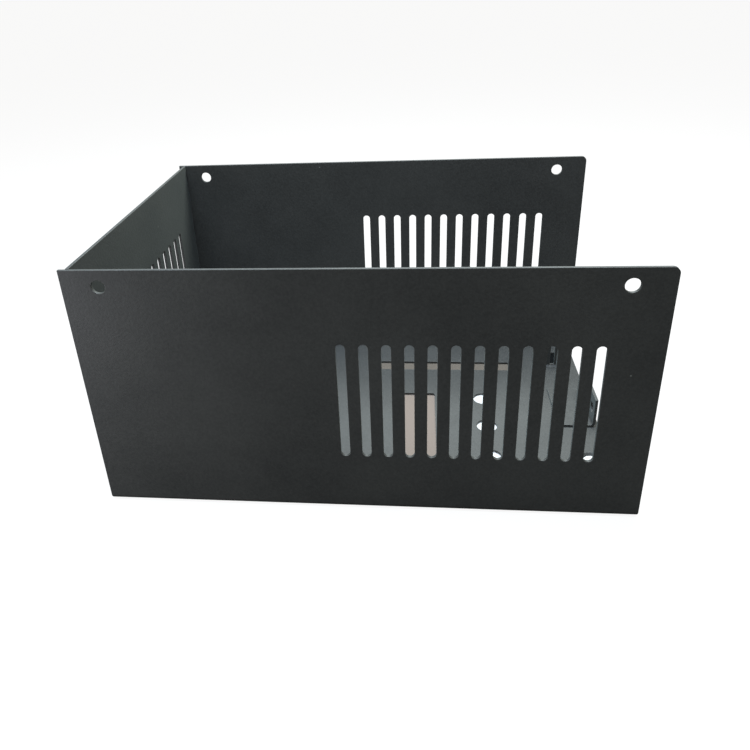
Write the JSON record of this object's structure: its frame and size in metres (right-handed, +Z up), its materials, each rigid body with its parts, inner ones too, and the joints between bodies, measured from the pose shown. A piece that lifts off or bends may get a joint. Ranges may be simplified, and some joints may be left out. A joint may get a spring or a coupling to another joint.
{
  "type": "sheet metal chassis",
  "caption": "Open-topped chassis tray folded from sheet steel, with slotted walls, cover screw holes, base cut-outs and a small bracket at its open end.",
  "frame": {"origin": "middle of the base's underside", "axes": "+X along the long walls towards the open end, +Y across towards the wall beside the cable aperture, +Z up out of the open top"},
  "size_m": [0.18, 0.121, 0.089],
  "materials": {
    "powder_coat": "fine-textured black powder coat on steel"
  },
  "bodies": {
    "root": {"chassis": "powder_coat", "end_bracket": "powder_coat"}
  },
  "joints": []
}
